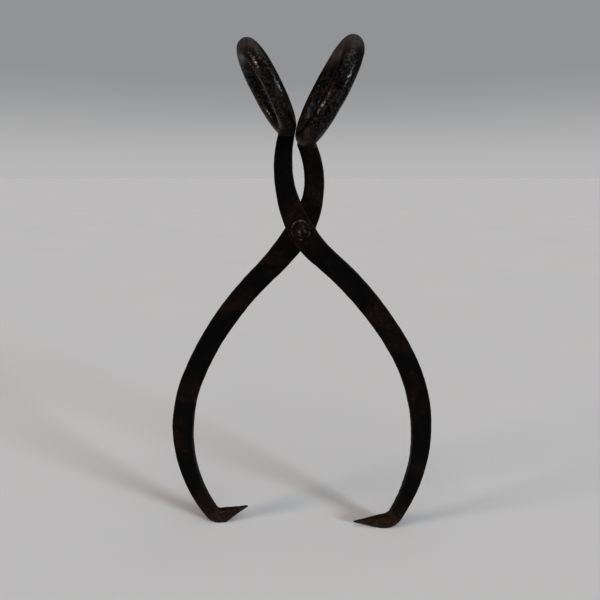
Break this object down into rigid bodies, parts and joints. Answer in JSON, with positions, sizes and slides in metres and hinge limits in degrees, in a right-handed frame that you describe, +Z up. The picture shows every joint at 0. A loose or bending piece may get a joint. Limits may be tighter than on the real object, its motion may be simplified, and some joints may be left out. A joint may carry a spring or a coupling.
{
  "type": "ice tongs",
  "caption": "Hand-forged iron ice tongs: crossed bowed arms on a rivet, a round ring handle on top of each arm and a sharp inward hook at each foot.",
  "frame": {"origin": "on the floor between the worn flats of the two heels, under the rivet, at the middle of the box", "axes": "+X across the jaws, from the rear arm's hook to the front arm's hook; +Y from the front arm to the rear arm, along the rivet; +Z up, from the hooks to the ring handles"},
  "size_m": [0.3149, 0.112, 0.5681],
  "materials": {
    "worn_iron": "hand-worn dark forged iron, satin",
    "forged_iron": "black scale with brown patina, semi-matt",
    "rusty_iron": "dark iron with brown rust, matt",
    "rivet_iron": "rust-brown peened iron, matt"
  },
  "bodies": {
    "front_arm": {"front_handle_ring": "worn_iron", "front_shank": "forged_iron", "front_jaw_arm": "forged_iron", "front_hook": "rusty_iron", "rivet": "rivet_iron", "rivet_washer": "rivet_iron"},
    "rear_arm": {"rear_handle_ring": "worn_iron", "rear_shank": "forged_iron", "rear_jaw_arm": "forged_iron", "rear_hook": "rusty_iron"}
  },
  "joints": [
    {"name": "jaws_open", "type": "hinge", "parent": "front_arm", "child": "rear_arm", "pos_m": [0, 0, 0.3815], "axis": [0, 1, 0], "range_deg": [0, 110]}
  ]
}
